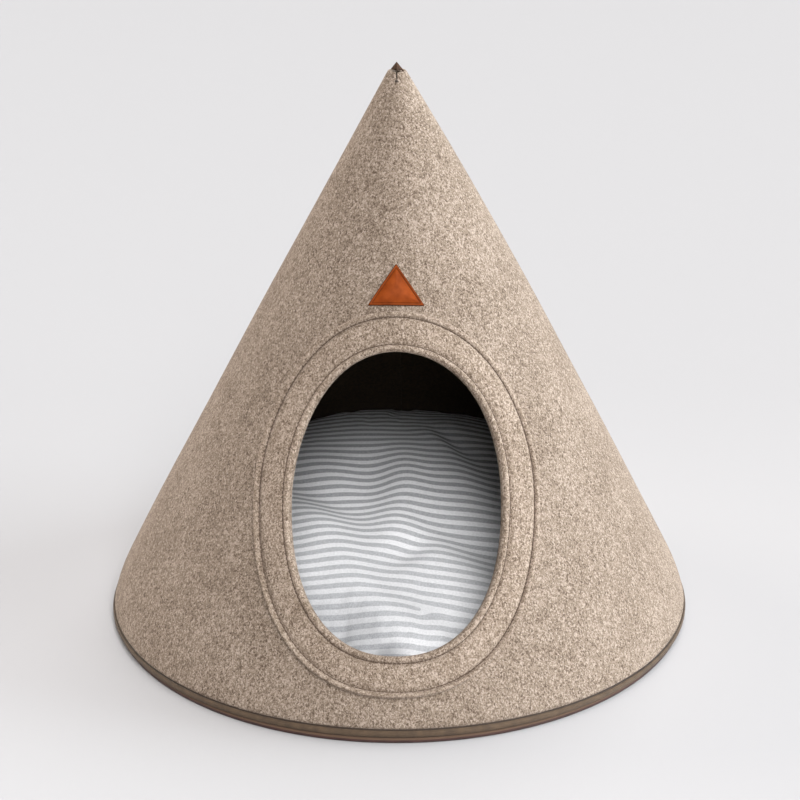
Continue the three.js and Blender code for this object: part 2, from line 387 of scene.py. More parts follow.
def polar(radius, theta, z):
    """Points at a radius, angle and height"""
    places = np.broadcast_arrays(radius * np.cos(theta), radius * np.sin(theta), z)
    return np.stack(places, axis=-1)


def signed_power(value, power):
    return np.sign(value) * np.abs(value) ** power


def hump(up):
    """1 halfway up, 0 at both ends"""
    return 4 * up * (1 - up)


def high_hump(up):
    """1 at two thirds of the way up, 0 at both ends"""
    return 27 / 4 * up**2 * (1 - up)


def plain_radius(z, theta):
    """Radius of the part's cone, the felt's outer face"""
    up = z / CONE_APEX
    swell = CONE_BULGE * hump(up) + SIDE_BULGE * high_hump(up) * np.cos(theta)
    side = np.cos(theta) ** 2
    tuck = (1 - side) * FOOT_TUCK * np.maximum(0, 1 - z / FOOT_HEIGHT) ** 2
    side_tuck = side * SIDE_FOOT_TUCK * np.maximum(0, 1 - z / SIDE_FOOT_HEIGHT) ** 2
    return CONE_FLOOR_RADIUS * (1 - up) + swell - tuck - side_tuck


def hem_drop(theta):
    """How much lower the hem's seam lies at an angle"""
    return HEM_SIDE_DROP * np.cos(theta) ** 2


def cone_radius(z, theta):
    """Radius of the felt's outer face, with its unevenness and the valley over the hem"""
    up = z / CONE_APEX
    ditch = DITCH_DEPTH * np.exp(-(((z + hem_drop(theta) - DITCH_HEIGHT) / DITCH_WIDTH) ** 2))
    waves = sum(
        wave.rise * np.sin(wave.round * theta + wave.phase) * np.sin(2 * np.pi * wave.up * up + wave.phase)
        for wave in FELT_WAVES
    )
    return plain_radius(z, theta) - ditch + hump(up) * waves


def wall_point(theta, z, depth):
    """Point on the cone at an angle and height, sunk by a depth square to its face"""
    fall = cone_radius(z - 0.5, theta) - cone_radius(z + 0.5, theta)  # over one millimetre of height
    length = np.hypot(1, fall)
    return polar(cone_radius(z, theta) - depth / length, theta, z - depth * fall / length)


def front_point(place, lift):
    """Point over a place on the cone's front, which is a turn and a height"""
    turn, z = place
    return wall_point(FRONT + turn, z, -lift)


def face_place(across, up):
    """Turn from the front and height of a place across and up the slope of the cone's front"""
    z = up * CONE_APEX / math.hypot(CONE_APEX, CONE_FLOOR_RADIUS)
    return across / plain_radius(z, FRONT), z


def door_place(angle, grow):
    """Turn and height of the doorway's outline, grown by a distance"""
    upper = np.sin(angle) > 0
    power = 2 / np.where(upper, DOOR_UPPER_POWER, DOOR_LOWER_POWER)
    half_height = np.where(upper, DOOR_UPPER_HEIGHT, DOOR_LOWER_HEIGHT)
    across = signed_power(np.cos(angle), power)
    up = signed_power(np.sin(angle), power)
    corner = np.where(upper, np.sin(2 * angle), 0)
    trim = DOOR_TRIM * (1 - grow / DOOR_TRIM_REACH) * np.maximum(0, -corner)
    end_draw = np.where(upper, FACING_TOP_DRAW, FACING_FOOT_DRAW) * np.abs(np.sin(angle))
    grow = grow * (1 - FACING_CORNER_DRAW * corner**2 - end_draw)
    return face_place((DOOR_HALF_WIDTH + grow) * across + trim, DOOR_UP + (half_height + grow) * up)


def door_point(angle, grow, lift):
    return front_point(door_place(angle, grow), lift)


# Lines, rings and meshes

def round_angles(count):
    return np.linspace(0, 2 * np.pi, count, endpoint=False)


def walked(points):
    """Distance along a line of points"""
    steps = np.linalg.norm(np.diff(points, axis=0), axis=-1)
    return np.concatenate([[0], np.cumsum(steps)])


def rounded(points, closed=False):
    """The line of points with its corners cut off, again and again"""
    points = np.array(points, float)
    cut = 0.25
    for _ in range(ROUNDING_PASSES):
        after = np.roll(points, -1, axis=0)
        pairs = np.stack([(1 - cut) * points + cut * after, cut * points + (1 - cut) * after], axis=1)
        if closed:
            points = pairs.reshape(-1, points.shape[1])
        else:
            points = np.concatenate([points[:1], pairs[:-1].reshape(-1, points.shape[1]), points[-1:]])
    return points


def ring_faces(count, size, closed):
    """Faces over a stack of rings, joined end to end if closed, or else with a lid on each end"""
    index = np.arange(count * size).reshape(count, size)
    above = np.roll(index, -1, axis=0)
    faces = np.stack([index, np.roll(index, -1, axis=1), np.roll(above, -1, axis=1), above], axis=-1)
    if closed:
        return faces.reshape(-1, 4).tolist()
    return faces[:-1].reshape(-1, 4).tolist() + [index[0, ::-1].tolist(), index[-1].tolist()]


def face_outward(mesh):
    shape = bmesh.new()
    shape.from_mesh(mesh)
    inside_out = shape.calc_volume(signed=True) < 0
    shape.free()
    if inside_out:
        mesh.flip_normals()


def add_piece(name, points, faces, material, slot, *nodes):
    """A mesh from points in millimetres, which stands for the named solids"""
    mesh = bpy.data.meshes.new(name)
    mesh.from_pydata(np.asarray(points).reshape(-1, 3) * MM, [], faces)
    face_outward(mesh)
    mesh.shade_smooth()
    mesh.materials.append(material)
    piece = bpy.data.objects.new(name, mesh)
    bpy.context.collection.objects.link(piece)
    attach(piece, "root")
    if nodes:
        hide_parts(*nodes)
    return piece


def add_rings(name, rings, closed, material, slot, *nodes):
    rings = np.asarray(rings)
    return add_piece(name, rings, ring_faces(*rings.shape[:2], closed), material, slot, *nodes)


def joined(parts):
    """One list of points and faces from several"""
    points = []
    faces = []
    for part_points, part_faces in parts:
        start = len(points)
        points.extend(part_points.reshape(-1, 3))
        faces.extend([index + start for index in face] for face in part_faces)
    return np.array(points), faces


def store(piece, name, values):
    """Keeps one number for each point of a mesh, for its material to read"""
    attribute = piece.data.attributes.new(name, "FLOAT", "POINT")
    attribute.data.foreach_set("value", np.asarray(values, np.float32))


# Felt and lining

Sheet = namedtuple("Sheet", "depth thickness low top door_grow slit")


def sheet_border(sheet):
    """Border of the unrolled sheet: bottom edge, a seam edge, the top with its slit, the other seam edge"""
    foot = np.linspace(-np.pi, np.pi, FOOT_LINES, endpoint=False)
    rise = np.linspace(sheet.low, sheet.top, SEAM_LINES, endpoint=False)
    across = np.linspace(1, -1, TIP_LINES, endpoint=False)
    tip = np.pi * signed_power(across, SLIT_GRADING)
    away = np.abs(tip) * cone_radius(sheet.top, FRONT) / SLIT_HALF_WIDTH
    notch = sheet.slit * np.maximum(0, 1 - away)
    fall = sheet.low + sheet.top - rise
    turn = np.concatenate([foot, np.full(SEAM_LINES, np.pi), tip, np.full(SEAM_LINES, -np.pi)])
    z = np.concatenate([np.full(FOOT_LINES, sheet.low), rise, sheet.top - notch, fall])
    return turn, z


def rolled_sheet(sheet):
    """Rings of a cone sheet: outer face from the doorway to the border, cut edge, inner face back again"""
    lines = FOOT_LINES + 2 * SEAM_LINES + TIP_LINES
    first = -np.pi / 2 - np.pi * FOOT_LINES / lines
    inner = np.array(door_place(first + round_angles(lines), sheet.door_grow))
    outer = np.array(sheet_border(sheet))
    edge = min(CUT_EDGE, sheet.thickness / 2)

    def ring(share, depth):
        turn, z = inner + (outer - inner) * share
        return wall_point(FRONT + turn, z, sheet.depth + depth)

    step = 0.001
    start = edge * step / np.linalg.norm(ring(step, 0) - ring(0, 0), axis=-1)
    end = 1 - edge * step / np.linalg.norm(ring(1, 0) - ring(1 - step, 0), axis=-1)
    front = np.linspace(0, 1, FACE_STEPS) ** STEP_GRADING
    back = np.linspace(1, 0, BACK_STEPS) ** STEP_GRADING
    bend = np.linspace(0, np.pi / 2, EDGE_STEPS)
    turns = list(zip(np.sin(bend), edge * (1 - np.cos(bend))))
    deep = sheet.thickness
    rings = [ring(start + (end - start) * share, 0) for share in front]
    rings += [ring(end + (1 - end) * out, sunk) for out, sunk in turns[1:]]
    rings += [ring(end + (1 - end) * out, deep - sunk) for out, sunk in turns[:0:-1]]
    rings += [ring(start + (end - start) * share, deep) for share in back]
    rings += [ring(start * (1 - out), deep - sunk) for out, sunk in turns[1:]]
    rings += [ring(start * (1 - out), sunk) for out, sunk in turns[:0:-1]]
    return rings


def felt_cone():
    sheet = Sheet(0, FELT, WALL_FOOT, WALL_TOP, 0, SLIT_DEPTH)
    material = felt_material("felt", FELT_BRIGHTNESS)
    piece = add_rings("felt_cone", rolled_sheet(sheet), True, material, "felt", "felt_wall")


def inner_lining():
    sheet = Sheet(FELT + GAP, LINING, WALL_FOOT, LINING_TOP, LINING_SET_BACK, 0)
    piece = add_rings("inner_lining", rolled_sheet(sheet), True, lining_material(), "lining", "wall_lining")


# Facing round the doorway

def facing_section():
    """Distance from the doorway's edge and lift off the felt, over the bands and back underneath"""
    section = []
    for band in FACING_BANDS:
        for share in np.linspace(0, 1, band.points, endpoint=False):
            crown = 1 - abs(2 * share - 1) ** band.power
            lift = band.low + (band.high - band.low) * crown
            section.append((band.start + (band.end - band.start) * share, lift))
    section.append((FACING_EDGE, FACING_BANDS[-1].low))
    for share in np.linspace(1, 0, FACING_BACK_POINTS):
        section.append((FACING_EDGE * share, FACING_BACK))
    return section


def stitch_count(grow):
    length = walked(door_point(np.linspace(0, 2 * np.pi, SEAM_SAMPLES), grow, 0))[-1]
    return round(length / STITCH_PITCH)


def pucker(angle, out):
    """How far the stitches draw the facing down, most at the needle's holes"""
    dip = 0
    for seam in SEAMS:
        length = walked(door_point(np.append(angle, 2 * np.pi), seam, 0))
        beat = 2 * np.pi * stitch_count(seam) * length[:-1] / length[-1]
        near = math.exp(-(((out - seam) / PUCKER_WIDTH) ** 2))
        dip = dip + PUCKER_DEPTH * near * (0.5 + 0.5 * np.cos(beat))
    return dip


def facing_ring():
    angle = round_angles(FACING_LINES)
    lean = LIP_LEAN * np.cos(angle - math.radians(LIP_SIDE))
    rings = []
    for out, lift in facing_section():
        if lift > FACING_BACK:
            lip = lean * (lift - FACING_BACK) if out > SEAMS[-1] else 0
            rings.append(door_point(angle, out, lift + lip - pucker(angle, out)))
        else:
            rings.append(door_point(angle, out, lift))
    material = felt_material("facing felt", FACING_BRIGHTNESS)
    piece = add_rings("facing_ring", rings, True, material, "facing", "doorway_facing")


# Thread

def stitch_row(grow):
    """Points of one seam's stitches, each a short thread that rises from its holes"""
    count = stitch_count(grow)
    fine = np.linspace(0, 2 * np.pi, 2 * SEAM_SAMPLES)
    length = walked(door_point(fine, grow, 0))
    along = np.linspace(0, 1, THREAD_RINGS)
    middle = np.arange(count)[:, None] + 0.5 + (along - 0.5) * STITCH_SHARE
    angle = np.interp(middle * length[-1] / count, length, fine)
    arch = np.sin(np.pi * along)
    lift = THREAD_LOW + THREAD_BOW * arch
    centre = door_point(angle, grow, lift)
    above = door_point(angle, grow, lift + 1) - centre
    course = np.gradient(centre, axis=1)
    course /= np.linalg.norm(course, axis=-1, keepdims=True)
    aside = np.cross(course, above)
    thick = THREAD_RADIUS * (THREAD_END + (1 - THREAD_END) * np.sqrt(arch))
    spin = round_angles(THREAD_SIDES)
    around = np.cos(spin)[:, None] * above[:, :, None, :] + np.sin(spin)[:, None] * aside[:, :, None, :]
    return centre[:, :, None, :] + thick[:, None, None] * around


def thread_ring(z):
    """Rings of a thread laid round the cone"""
    theta = round_angles(ROUND_LINES)[:, None]
    spin = round_angles(THREAD_SIDES)[None, :]
    height = z - hem_drop(theta) + HEM_THREAD_RADIUS * np.sin(spin)
    return wall_point(theta, height, -HEM_THREAD_RADIUS * np.cos(spin))


def tack():
    """Short thread across the foot of the slit at the tip"""
    share = np.linspace(-1, 1, THREAD_RINGS)[:, None]
    spin = round_angles(THREAD_SIDES)[None, :]
    thick = TACK_RADIUS * (1 - TACK_TAPER * share**2)
    z = WALL_TOP - SLIT_DEPTH + thick * np.sin(spin)
    turn = share * TACK_HALF_LENGTH / cone_radius(WALL_TOP - SLIT_DEPTH, FRONT)
    return wall_point(FRONT + turn, z, -thick * np.cos(spin))


def stitching():
    """Thread of the doorway's two seams"""
    short = ring_faces(THREAD_RINGS, THREAD_SIDES, False)
    parts = [(stitch, short) for seam in SEAMS for stitch in stitch_row(seam)]
    material = thread_material("seam thread", SEAM_THREAD_COLOURS)
    add_piece("stitching", *joined(parts), material, "tape")


def hem_thread_and_shade():
    """Dark thread of the hem and of the tack at the tip; the hem's continuous dark cord is partly painted
    shade, for the shadow line above the tape
    """
    parts = [
        (thread_ring(DITCH_HEIGHT), ring_faces(ROUND_LINES, THREAD_SIDES, True)),
        (tack(), ring_faces(THREAD_RINGS, THREAD_SIDES, False)),
    ]
    material = thread_material("hem thread", HEM_THREAD_SHADE_COLOURS)
    add_piece("hem_thread_and_shade", *joined(parts), material, "tape")


# Tape and base

def hem_tape():
    """Tape folded round the lower edge of the felt and its lining"""
    bed = TAPE_LOW + TAPE / 2
    outer = -GAP - TAPE
    inner = FELT + GAP + LINING + GAP + TAPE
    theta = round_angles(ROUND_LINES)
    top = TAPE_TOP - hem_drop(theta)
    belly = TAPE_BELLY_UP * top + (1 - TAPE_BELLY_UP) * bed

    def at(z, depth):
        return wall_point(theta, z, depth).ravel()

    def level(z, depth):
        ring = wall_point(theta, z, depth)
        ring[:, 2] = z
        return ring.ravel()

    corners = [
        level(TAPE_LOW, outer + TAPE),
        level(TAPE_LOW + TAPE, outer),
        at(belly, outer - TAPE_BELLY),
        at(top, outer),
        at(top, outer + TAPE),
        level(bed, outer + TAPE),
        level(bed, inner - TAPE),
        at(TAPE_INNER_TOP, inner - TAPE),
        at(TAPE_INNER_TOP, inner),
        level(TAPE_LOW, inner),
    ]
    rings = rounded(corners, closed=True).reshape(-1, ROUND_LINES, 3)
    piece = add_rings("hem_tape", rings, True, tape_material(), "tape", "hem_binding")


def base_disc():
    rim = BASE_RADIUS
    inside = rim - BASE_RIM_WIDTH
    bend = np.linspace(0, np.pi / 2, BASE_ROUNDING_POINTS)
    reach = BASE_ROUNDING * (1 - np.sin(bend))
    rise = BASE_ROUNDING * (1 - np.cos(bend))
    profile = [(inside, 0)]
    profile += list(zip(rim - reach, rise))
    profile += list(zip(rim - reach[::-1], BASE_RIM - rise[::-1]))
    profile += [(inside, BASE_RIM), (inside - BASE_RIM_SLOPE, BASE_THICKNESS)]
    rings = np.array([polar(radius, round_angles(ROUND_LINES), z) for radius, z in profile])
    rings[..., 0] *= 1 - BASE_SIDE_DRAW / rim
    rings[..., 1] *= np.where(rings[..., 1] < 0, 1 + BASE_FRONT_REACH / rim, 1)
    piece = add_rings("base_disc", rings, False, base_material(), "base", "base_panel")


# Patch and cap

def unit(way):
    return way / np.linalg.norm(way)


def patch_outline():
    """Places across and up of the triangle's outline, with its corners rounded"""
    half = PATCH_WIDTH / 2
    corners = np.array([(-half, 0), (half, 0), (0, PATCH_HEIGHT)], float)
    ways = [unit(corners[(i + 1) % 3] - corners[i]) for i in range(3)]
    openings = [math.acos(float(-ways[i - 1] @ ways[i])) for i in range(3)]
    reaches = [PATCH_CORNER / math.tan(opening / 2) for opening in openings]
    share = np.linspace(0, 1, PATCH_SIDE_POINTS + 2)[1:-1, None]
    outline = []
    for i in range(3):
        inward = unit(ways[i] - ways[i - 1])
        centre = corners[i] + inward * PATCH_CORNER / math.sin(openings[i] / 2)
        for swing in (math.pi - openings[i]) * np.linspace(-0.5, 0.5, PATCH_CORNER_POINTS):
            turn = np.array([[math.cos(swing), -math.sin(swing)], [math.sin(swing), math.cos(swing)]])
            outline.append(centre - PATCH_CORNER * turn @ inward)
        after = (i + 1) % 3
        start = corners[i] + ways[i] * reaches[i]
        end = corners[after] - ways[i] * reaches[after]
        outline.extend(start + (end - start) * share)
    return np.array(outline)


def leather_triangle():
    side = math.hypot(PATCH_WIDTH / 2, PATCH_HEIGHT)
    inner_radius = PATCH_WIDTH * PATCH_HEIGHT / (PATCH_WIDTH + 2 * side)
    middle = np.array([0, inner_radius])
    outline = patch_outline()
    rings = []
    for row in PATCH_ROWS:
        across, up = (middle + (outline - middle) * (1 - row.inset / inner_radius)).T
        bow = PATCH_BOW * (1 - (2 * across / PATCH_WIDTH) ** 2) * (1 - up / PATCH_HEIGHT)
        rings.append(front_point(face_place(across, PATCH_UP + up + bow), row.lift))
    piece = add_rings("leather_triangle", rings, False, leather_material(), "leather", "leather_patch")
    store(piece, "inset", np.repeat([row.inset for row in PATCH_ROWS], len(outline)))


def cap_tip():
    """Four-sided pyramid with soft ridges, its right corner drawn out into a drooping tail"""
    theta = round_angles(CAP_LINES)
    aside = np.minimum(theta, 2 * np.pi - theta)
    power = CAP_RIDGE_POWER
    square = (np.abs(np.cos(theta)) ** power + np.abs(np.sin(theta)) ** power) ** (-1 / power)
    tail = np.exp(-((aside / CAP_TAIL_SPREAD) ** 2))

    def ring(share, size):
        pull = tail * max(0, 1 - share / CAP_TAIL_TOP) ** 2
        radius = CAP_RADIUS * size * square + CAP_TAIL * pull
        height = CAP_LOW + (CAP_TOP - CAP_LOW) * share - CAP_TAIL_DROP * pull
        return polar(radius, theta, height)

    rows = np.linspace(0, CAP_LAST_ROW, CAP_ROWS)
    rings = [ring(0, CAP_FOOT_SIZE)]
    rings += [ring(CAP_WIDEST + (1 - CAP_WIDEST) * share, 1 - share) for share in rows]
    add_rings("cap_tip", rings, False, cap_material(), "cap", "tip_cap")


# Cushion

def fold_rise(x, y):
    """Height that the folds add to the cushion's top"""
    rise = 0
    for fold in CUSHION_FOLDS:
        turn = math.radians(fold.turn)
        along = (x - fold.x) * math.cos(turn) + (y - fold.y) * math.sin(turn)
        across = (y - fold.y) * math.cos(turn) - (x - fold.x) * math.sin(turn)
        rise = rise + fold.rise * np.exp(-((along / fold.length) ** 2) - (across / fold.width) ** 2)
    return rise


def fold_fade(radius):
    """Share of the folds' height that is left at a distance from the middle"""
    return np.clip((CUSHION_FADE_END - radius) / (CUSHION_FADE_END - CUSHION_FADE_START), 0, 1)


def crown_section():
    """Half section of the cushion's upper panel, from the crown to the seam"""
    drop = CUSHION_CROWN - CUSHION_SHOULDER.height
    radius = np.linspace(0, CUSHION_SHOULDER.radius, CROWN_POINTS)
    dome = np.stack([radius, CUSHION_CROWN - drop * (radius / CUSHION_SHOULDER.radius) ** 2], axis=-1)
    return np.concatenate([dome, rounded([dome[-1], *CUSHION_RIM])[1:]])


def crown_height(x, y):
    """Height of the cushion's top over its bed, for places inside its rim"""
    radius = np.hypot(x, y)
    section = crown_section()
    height = np.interp(radius, section[:, 0], section[:, 1]) * (1 + CUSHION_BACK_RISE * y)
    return height + fold_fade(radius) * fold_rise(x, y)


def cloth_length(x, y):
    """Length over the cushion's folds from the middle line to each place, along Y"""
    steps = np.linspace(0, 1, CLOTH_STEPS + 1)
    rows = y[..., None] * steps
    height = crown_height(x[..., None], rows)
    length = np.hypot(np.diff(rows, axis=-1), np.diff(height, axis=-1)).sum(axis=-1)
    return np.sign(y) * length


def disc_grid(cells):
    """Square grid drawn onto a disc: places from -1 to 1"""
    side = np.linspace(-1, 1, cells + 1)
    u, v = np.meshgrid(side, side, indexing="ij")
    wide = np.abs(u) >= np.abs(v)
    main = np.where(wide, u, v)
    ratio = np.where(wide, v, u) / np.where(main == 0, 1, main)
    angle = np.where(wide, np.pi / 4 * ratio, np.pi / 2 - np.pi / 4 * ratio)
    return main * np.cos(angle), main * np.sin(angle)


Panel = namedtuple("Panel", "points radius height angle share")


def panel(section, x, y):
    """Points of a round panel with that section, and where each lies on it"""
    length = walked(section)
    share = np.hypot(x, y) * length[-1]
    radius = np.interp(share, length, section[:, 0])
    height = np.interp(share, length, section[:, 1])
    angle = np.arctan2(y, x)
    z = CUSHION_FLOOR + height * (1 + CUSHION_BACK_RISE * (radius * np.sin(angle)))
    return Panel(polar(radius, angle, z), radius, height, angle, share)


def upper_panel(x, y):
    """Points of the cushion's top without its folds, the folds' height, and the places on the flat cloth"""
    section = crown_section()
    top = panel(section, x, y)
    px = top.points[..., 0]
    py = top.points[..., 1]
    fade = np.where(top.height >= CUSHION_SHOULDER.height / 2, fold_fade(top.radius), 0)
    edge = CUSHION_RIM[1].radius
    beyond = np.maximum(0, top.share - np.interp(edge, section[:, 0], walked(section)))
    inside = np.minimum(1, edge / np.maximum(top.radius, 1))
    flat_x = px * inside + beyond * np.cos(top.angle)
    flat_y = cloth_length(px * inside, py * inside) + beyond * np.sin(top.angle)
    return top.points, fade * fold_rise(px, py), np.stack([flat_x, flat_y], axis=-1)


def lower_panel(x, y):
    """Points of the cushion's underside, and the places on the flat cloth"""
    under = panel(rounded(CUSHION_UNDER), x, y)
    flat = np.stack([under.share * np.cos(under.angle), under.share * np.sin(under.angle)], axis=-1)
    return under.points, flat


def panel_numbers(size):
    """Point numbers of the upper and the lower panel's grid, which share their seam"""
    above = np.arange(size * size).reshape(size, size)
    below = above + size * size
    for edge in (np.s_[0, :], np.s_[-1, :], np.s_[:, 0], np.s_[:, -1]):
        below[edge] = above[edge]
    return above, below


def grid_faces(index):
    corners = [index[:-1, :-1], index[1:, :-1], index[1:, 1:], index[:-1, 1:]]
    return np.stack(corners, axis=-1).reshape(-1, 4)


def striped_cushion():
    x, y = disc_grid(CUSHION_CELLS)
    top, rise, top_flat = upper_panel(x, y)
    under, under_flat = lower_panel(x, y)
    size = CUSHION_CELLS + 1
    above, below = panel_numbers(size)
    upper = grid_faces(above)
    lower = grid_faces(below)[:, ::-1]
    used, faces = np.unique(np.concatenate([upper, lower]), return_inverse=True)
    faces = faces.reshape(-1, 4).tolist()
    points = np.concatenate([top.reshape(-1, 3), under.reshape(-1, 3)])[used]
    piece = add_piece("striped_cushion", points, faces, cotton_material(), "striped_cotton", "cushion")
    flat = np.concatenate([top_flat.reshape(-1, 2)[upper], under_flat.reshape(-1, 2)[upper[:, ::-1]]])
    cloth = piece.data.uv_layers.new(name="cloth")
    cloth.uv.foreach_set("vector", flat.astype(np.float32).ravel())
    shift = np.zeros((size, size, 3))
    shift[..., 2] = rise
    shift += creases(piece, size)
    move_top(piece, shift)
    smooth = piece.modifiers.new("smooth", "SUBSURF")
    smooth.levels = 1
    smooth.render_levels = 1


def mesh_points(mesh):
    """Points of a mesh in millimetres"""
    flat = np.empty(3 * len(mesh.vertices), np.float32)
    mesh.vertices.foreach_get("co", flat)
    return flat.reshape(-1, 3) / MM


def simulated_points(piece, held):
    """Where a cloth simulation takes the points when the filling presses the cover out"""
    scene = bpy.context.scene
    pins = piece.vertex_groups.new(name="held")
    pins.add(held, 1, "REPLACE")
    modifier = piece.modifiers.new("press", "CLOTH")
    settings = modifier.settings
    settings.quality = CUSHION_QUALITY
    settings.vertex_group_mass = pins.name
    settings.use_pressure = True
    settings.uniform_pressure_force = CUSHION_PRESSURE
    settings.shrink_min = -CUSHION_SPARE
    settings.effector_weights.gravity = 0
    modifier.point_cache.frame_start = 1
    modifier.point_cache.frame_end = CUSHION_FRAMES
    for step in range(1, CUSHION_FRAMES + 1):
        scene.frame_set(step)
    pressed = piece.evaluated_get(bpy.context.evaluated_depsgraph_get())
    points = mesh_points(pressed.data)
    piece.modifiers.remove(modifier)
    piece.vertex_groups.remove(pins)
    scene.frame_set(1)
    return points


def blurred(values, reach):
    """Mean over a square of cells, for a grid of values"""
    for axis in (0, 1):
        ends = [(0, 0)] * values.ndim
        ends[axis] = (reach, reach)
        padded = np.pad(values, ends, mode="edge")
        shifted = [np.take(padded, np.arange(i, i + values.shape[axis]), axis) for i in range(2 * reach + 1)]
        values = sum(shifted) / len(shifted)
    return values


def creases(piece, size):
    """Small moves of the cushion's top in the simulation, without those of its larger form"""
    before = mesh_points(piece.data)
    top = size * size
    move = simulated_points(piece, list(range(top, len(before)))) - before
    move = move[:top].reshape(size, size, 3)
    fine = move - blurred(blurred(move, CREASE_REACH), CREASE_REACH)
    length = np.linalg.norm(fine, axis=-1, keepdims=True)
    tiny = 1e-6
    return fine * CREASE_LIMIT * np.tanh(length / CREASE_LIMIT) / np.maximum(length, tiny)


def move_top(piece, shift):
    points = mesh_points(piece.data)
    moved = shift.reshape(-1, 3)
    points[: len(moved)] += moved
    piece.data.vertices.foreach_set("co", (points * MM).astype(np.float32).ravel())
    piece.data.update()


# Materials

class Shader:
    """Short names for the nodes of one material"""

    def __init__(self, name, **values):
        self.material = bpy.data.materials.new(name)
        self.material.use_nodes = True
        self.tree = self.material.node_tree
        self.surface = self.tree.nodes["Principled BSDF"]
        for socket, value in values.items():
            self.surface.inputs[socket.replace("_", " ")].default_value = value

    def node(self, kind, inputs, **settings):
        made = self.tree.nodes.new(kind)
        for name, value in settings.items():
            setattr(made, name, value)
        for name, value in inputs.items():
            self.put(made.inputs[name], value)
        return made

    def put(self, socket, value):
        if isinstance(value, bpy.types.NodeSocket):
            self.tree.links.new(value, socket)
        else:
            socket.default_value = value

    def place(self):
        return self.node("ShaderNodeTexCoord", {}).outputs["Object"]

    def axes(self, place):
        return self.node("ShaderNodeSeparateXYZ", {"Vector": place}).outputs

    def stretched(self, place, stretch):
        """Place whose patterns come out longer upwards"""
        inputs = {0: place, 1: (1, 1, 1 / stretch)}
        return self.node("ShaderNodeVectorMath", inputs, operation="MULTIPLY").outputs["Vector"]

    def noise(self, place, size, detail=2.0, roughness=0.5, distortion=0.0):
        """Soft noise with lumps of a size in millimetres"""
        inputs = {"Vector": place, "Scale": 1 / (size * MM), "Detail": detail, "Roughness": roughness,
                  "Distortion": distortion}
        return self.node("ShaderNodeTexNoise", inputs).outputs["Fac"]

    def math(self, operation, *values):
        made = self.node("ShaderNodeMath", {}, operation=operation)
        for socket, value in zip(made.inputs, values):
            self.put(socket, value)
        return made.outputs[0]

    def times(self, first, second):
        return self.math("MULTIPLY", first, second)

    def minus(self, first, second):
        return self.math("SUBTRACT", first, second)

    def plus(self, first, second, share):
        """The first with a share of the second added"""
        return self.math("MULTIPLY_ADD", second, share, first)

    def distance(self, across, along):
        return self.math("SQRT", self.plus(self.times(along, along), across, share=across))

    def span(self, value, low, high):
        """0 below low, 1 above high, smooth between"""
        inputs = {"Value": value, "From Min": low, "From Max": high}
        made = self.node("ShaderNodeMapRange", inputs, interpolation_type="SMOOTHSTEP")
        return made.outputs["Result"]

    def fall(self, value, low, high):
        """1 below low, 0 above high, smooth between"""
        return self.minus(1, self.span(value, low, high))

    def blend(self, share, first, second):
        """Colour between two others"""
        inputs = {("Factor", "VALUE"): share, ("A", "RGBA"): first, ("B", "RGBA"): second}
        made = self.node("ShaderNodeMix", {}, data_type="RGBA")
        for socket in made.inputs:
            if (socket.name, socket.type) in inputs:
                self.put(socket, inputs[socket.name, socket.type])
        return next(output for output in made.outputs if output.type == "RGBA")

    def ramp(self, share, stops, colours):
        """Colour from a row of colours at their stops from 0 to 1"""
        made = self.node("ShaderNodeValToRGB", {"Fac": share})
        elements = made.color_ramp.elements
        while len(elements) < len(stops):
            elements.new(0.5)
        for element, stop, colour in zip(elements, stops, colours):
            element.position = stop
            element.color = colour
        return made.outputs["Color"]

    def tones(self, noise, colours):
        """Colour between a dark and a pale screen colour, as a noise goes"""
        return self.ramp(noise, (NOISE_LOW, NOISE_HIGH), [rgb(colour) for colour in colours])

    def bump(self, height, rise, before=None):
        """Surface raised by a height from 0 to 1, times a rise in millimetres"""
        inputs = {"Height": height, "Distance": rise * MM}
        if before is not None:
            inputs["Normal"] = before
        return self.node("ShaderNodeBump", inputs).outputs["Normal"]

    def finish(self, colour, normal=None):
        self.put(self.surface.inputs["Base Color"], colour)
        if normal is not None:
            self.put(self.surface.inputs["Normal"], normal)
        return self.material


def rgb(colour, brightness=1):
    """Linear colour of a screen colour from 0 to 255, by the sRGB formula"""
    share = np.array(colour) / 255
    linear = np.where(share <= 0.04045, share / 12.92, ((share + 0.055) / 1.055) ** 2.4)
    return (*(float(value) for value in linear * brightness), 1)


def felt_material(name, brightness):
    """Heathered felt: dark, middle and pale fibres matted together"""
    look = Shader(name, Roughness=0.95, Sheen_Weight=0.55, Sheen_Roughness=0.45)
    place = look.stretched(look.place(), FIBRE_STRETCH)
    fibres = look.noise(place, size=1.5, detail=1, roughness=0.6, distortion=0.9)
    tufts = look.noise(place, size=5, distortion=0.6)
    clouds = look.noise(place, size=45)
    mixed = look.plus(fibres, tufts, share=TUFT_SHARE)
    mixed = look.plus(mixed, clouds, share=CLOUD_SHARE)
    level = look.minus(mixed, (TUFT_SHARE + CLOUD_SHARE) / 2)
    stops = np.linspace(NOISE_LOW, NOISE_HIGH, len(FELT_COLOURS))
    colour = look.ramp(level, stops, [rgb(shade, brightness) for shade in FELT_COLOURS])
    hairs = look.noise(place, size=0.9, roughness=0.7, distortion=2)
    normal = look.bump(fibres, rise=0.5)
    normal = look.bump(hairs, rise=0.25, before=normal)
    look.put(look.surface.inputs["Sheen Tint"], colour)
    return look.finish(colour, normal)


def lining_material():
    look = Shader("lining", Roughness=0.95, Sheen_Weight=0.1)
    nap = look.noise(look.place(), size=3, detail=3, roughness=0.6)
    return look.finish(look.tones(nap, LINING_COLOURS), look.bump(nap, rise=0.4))


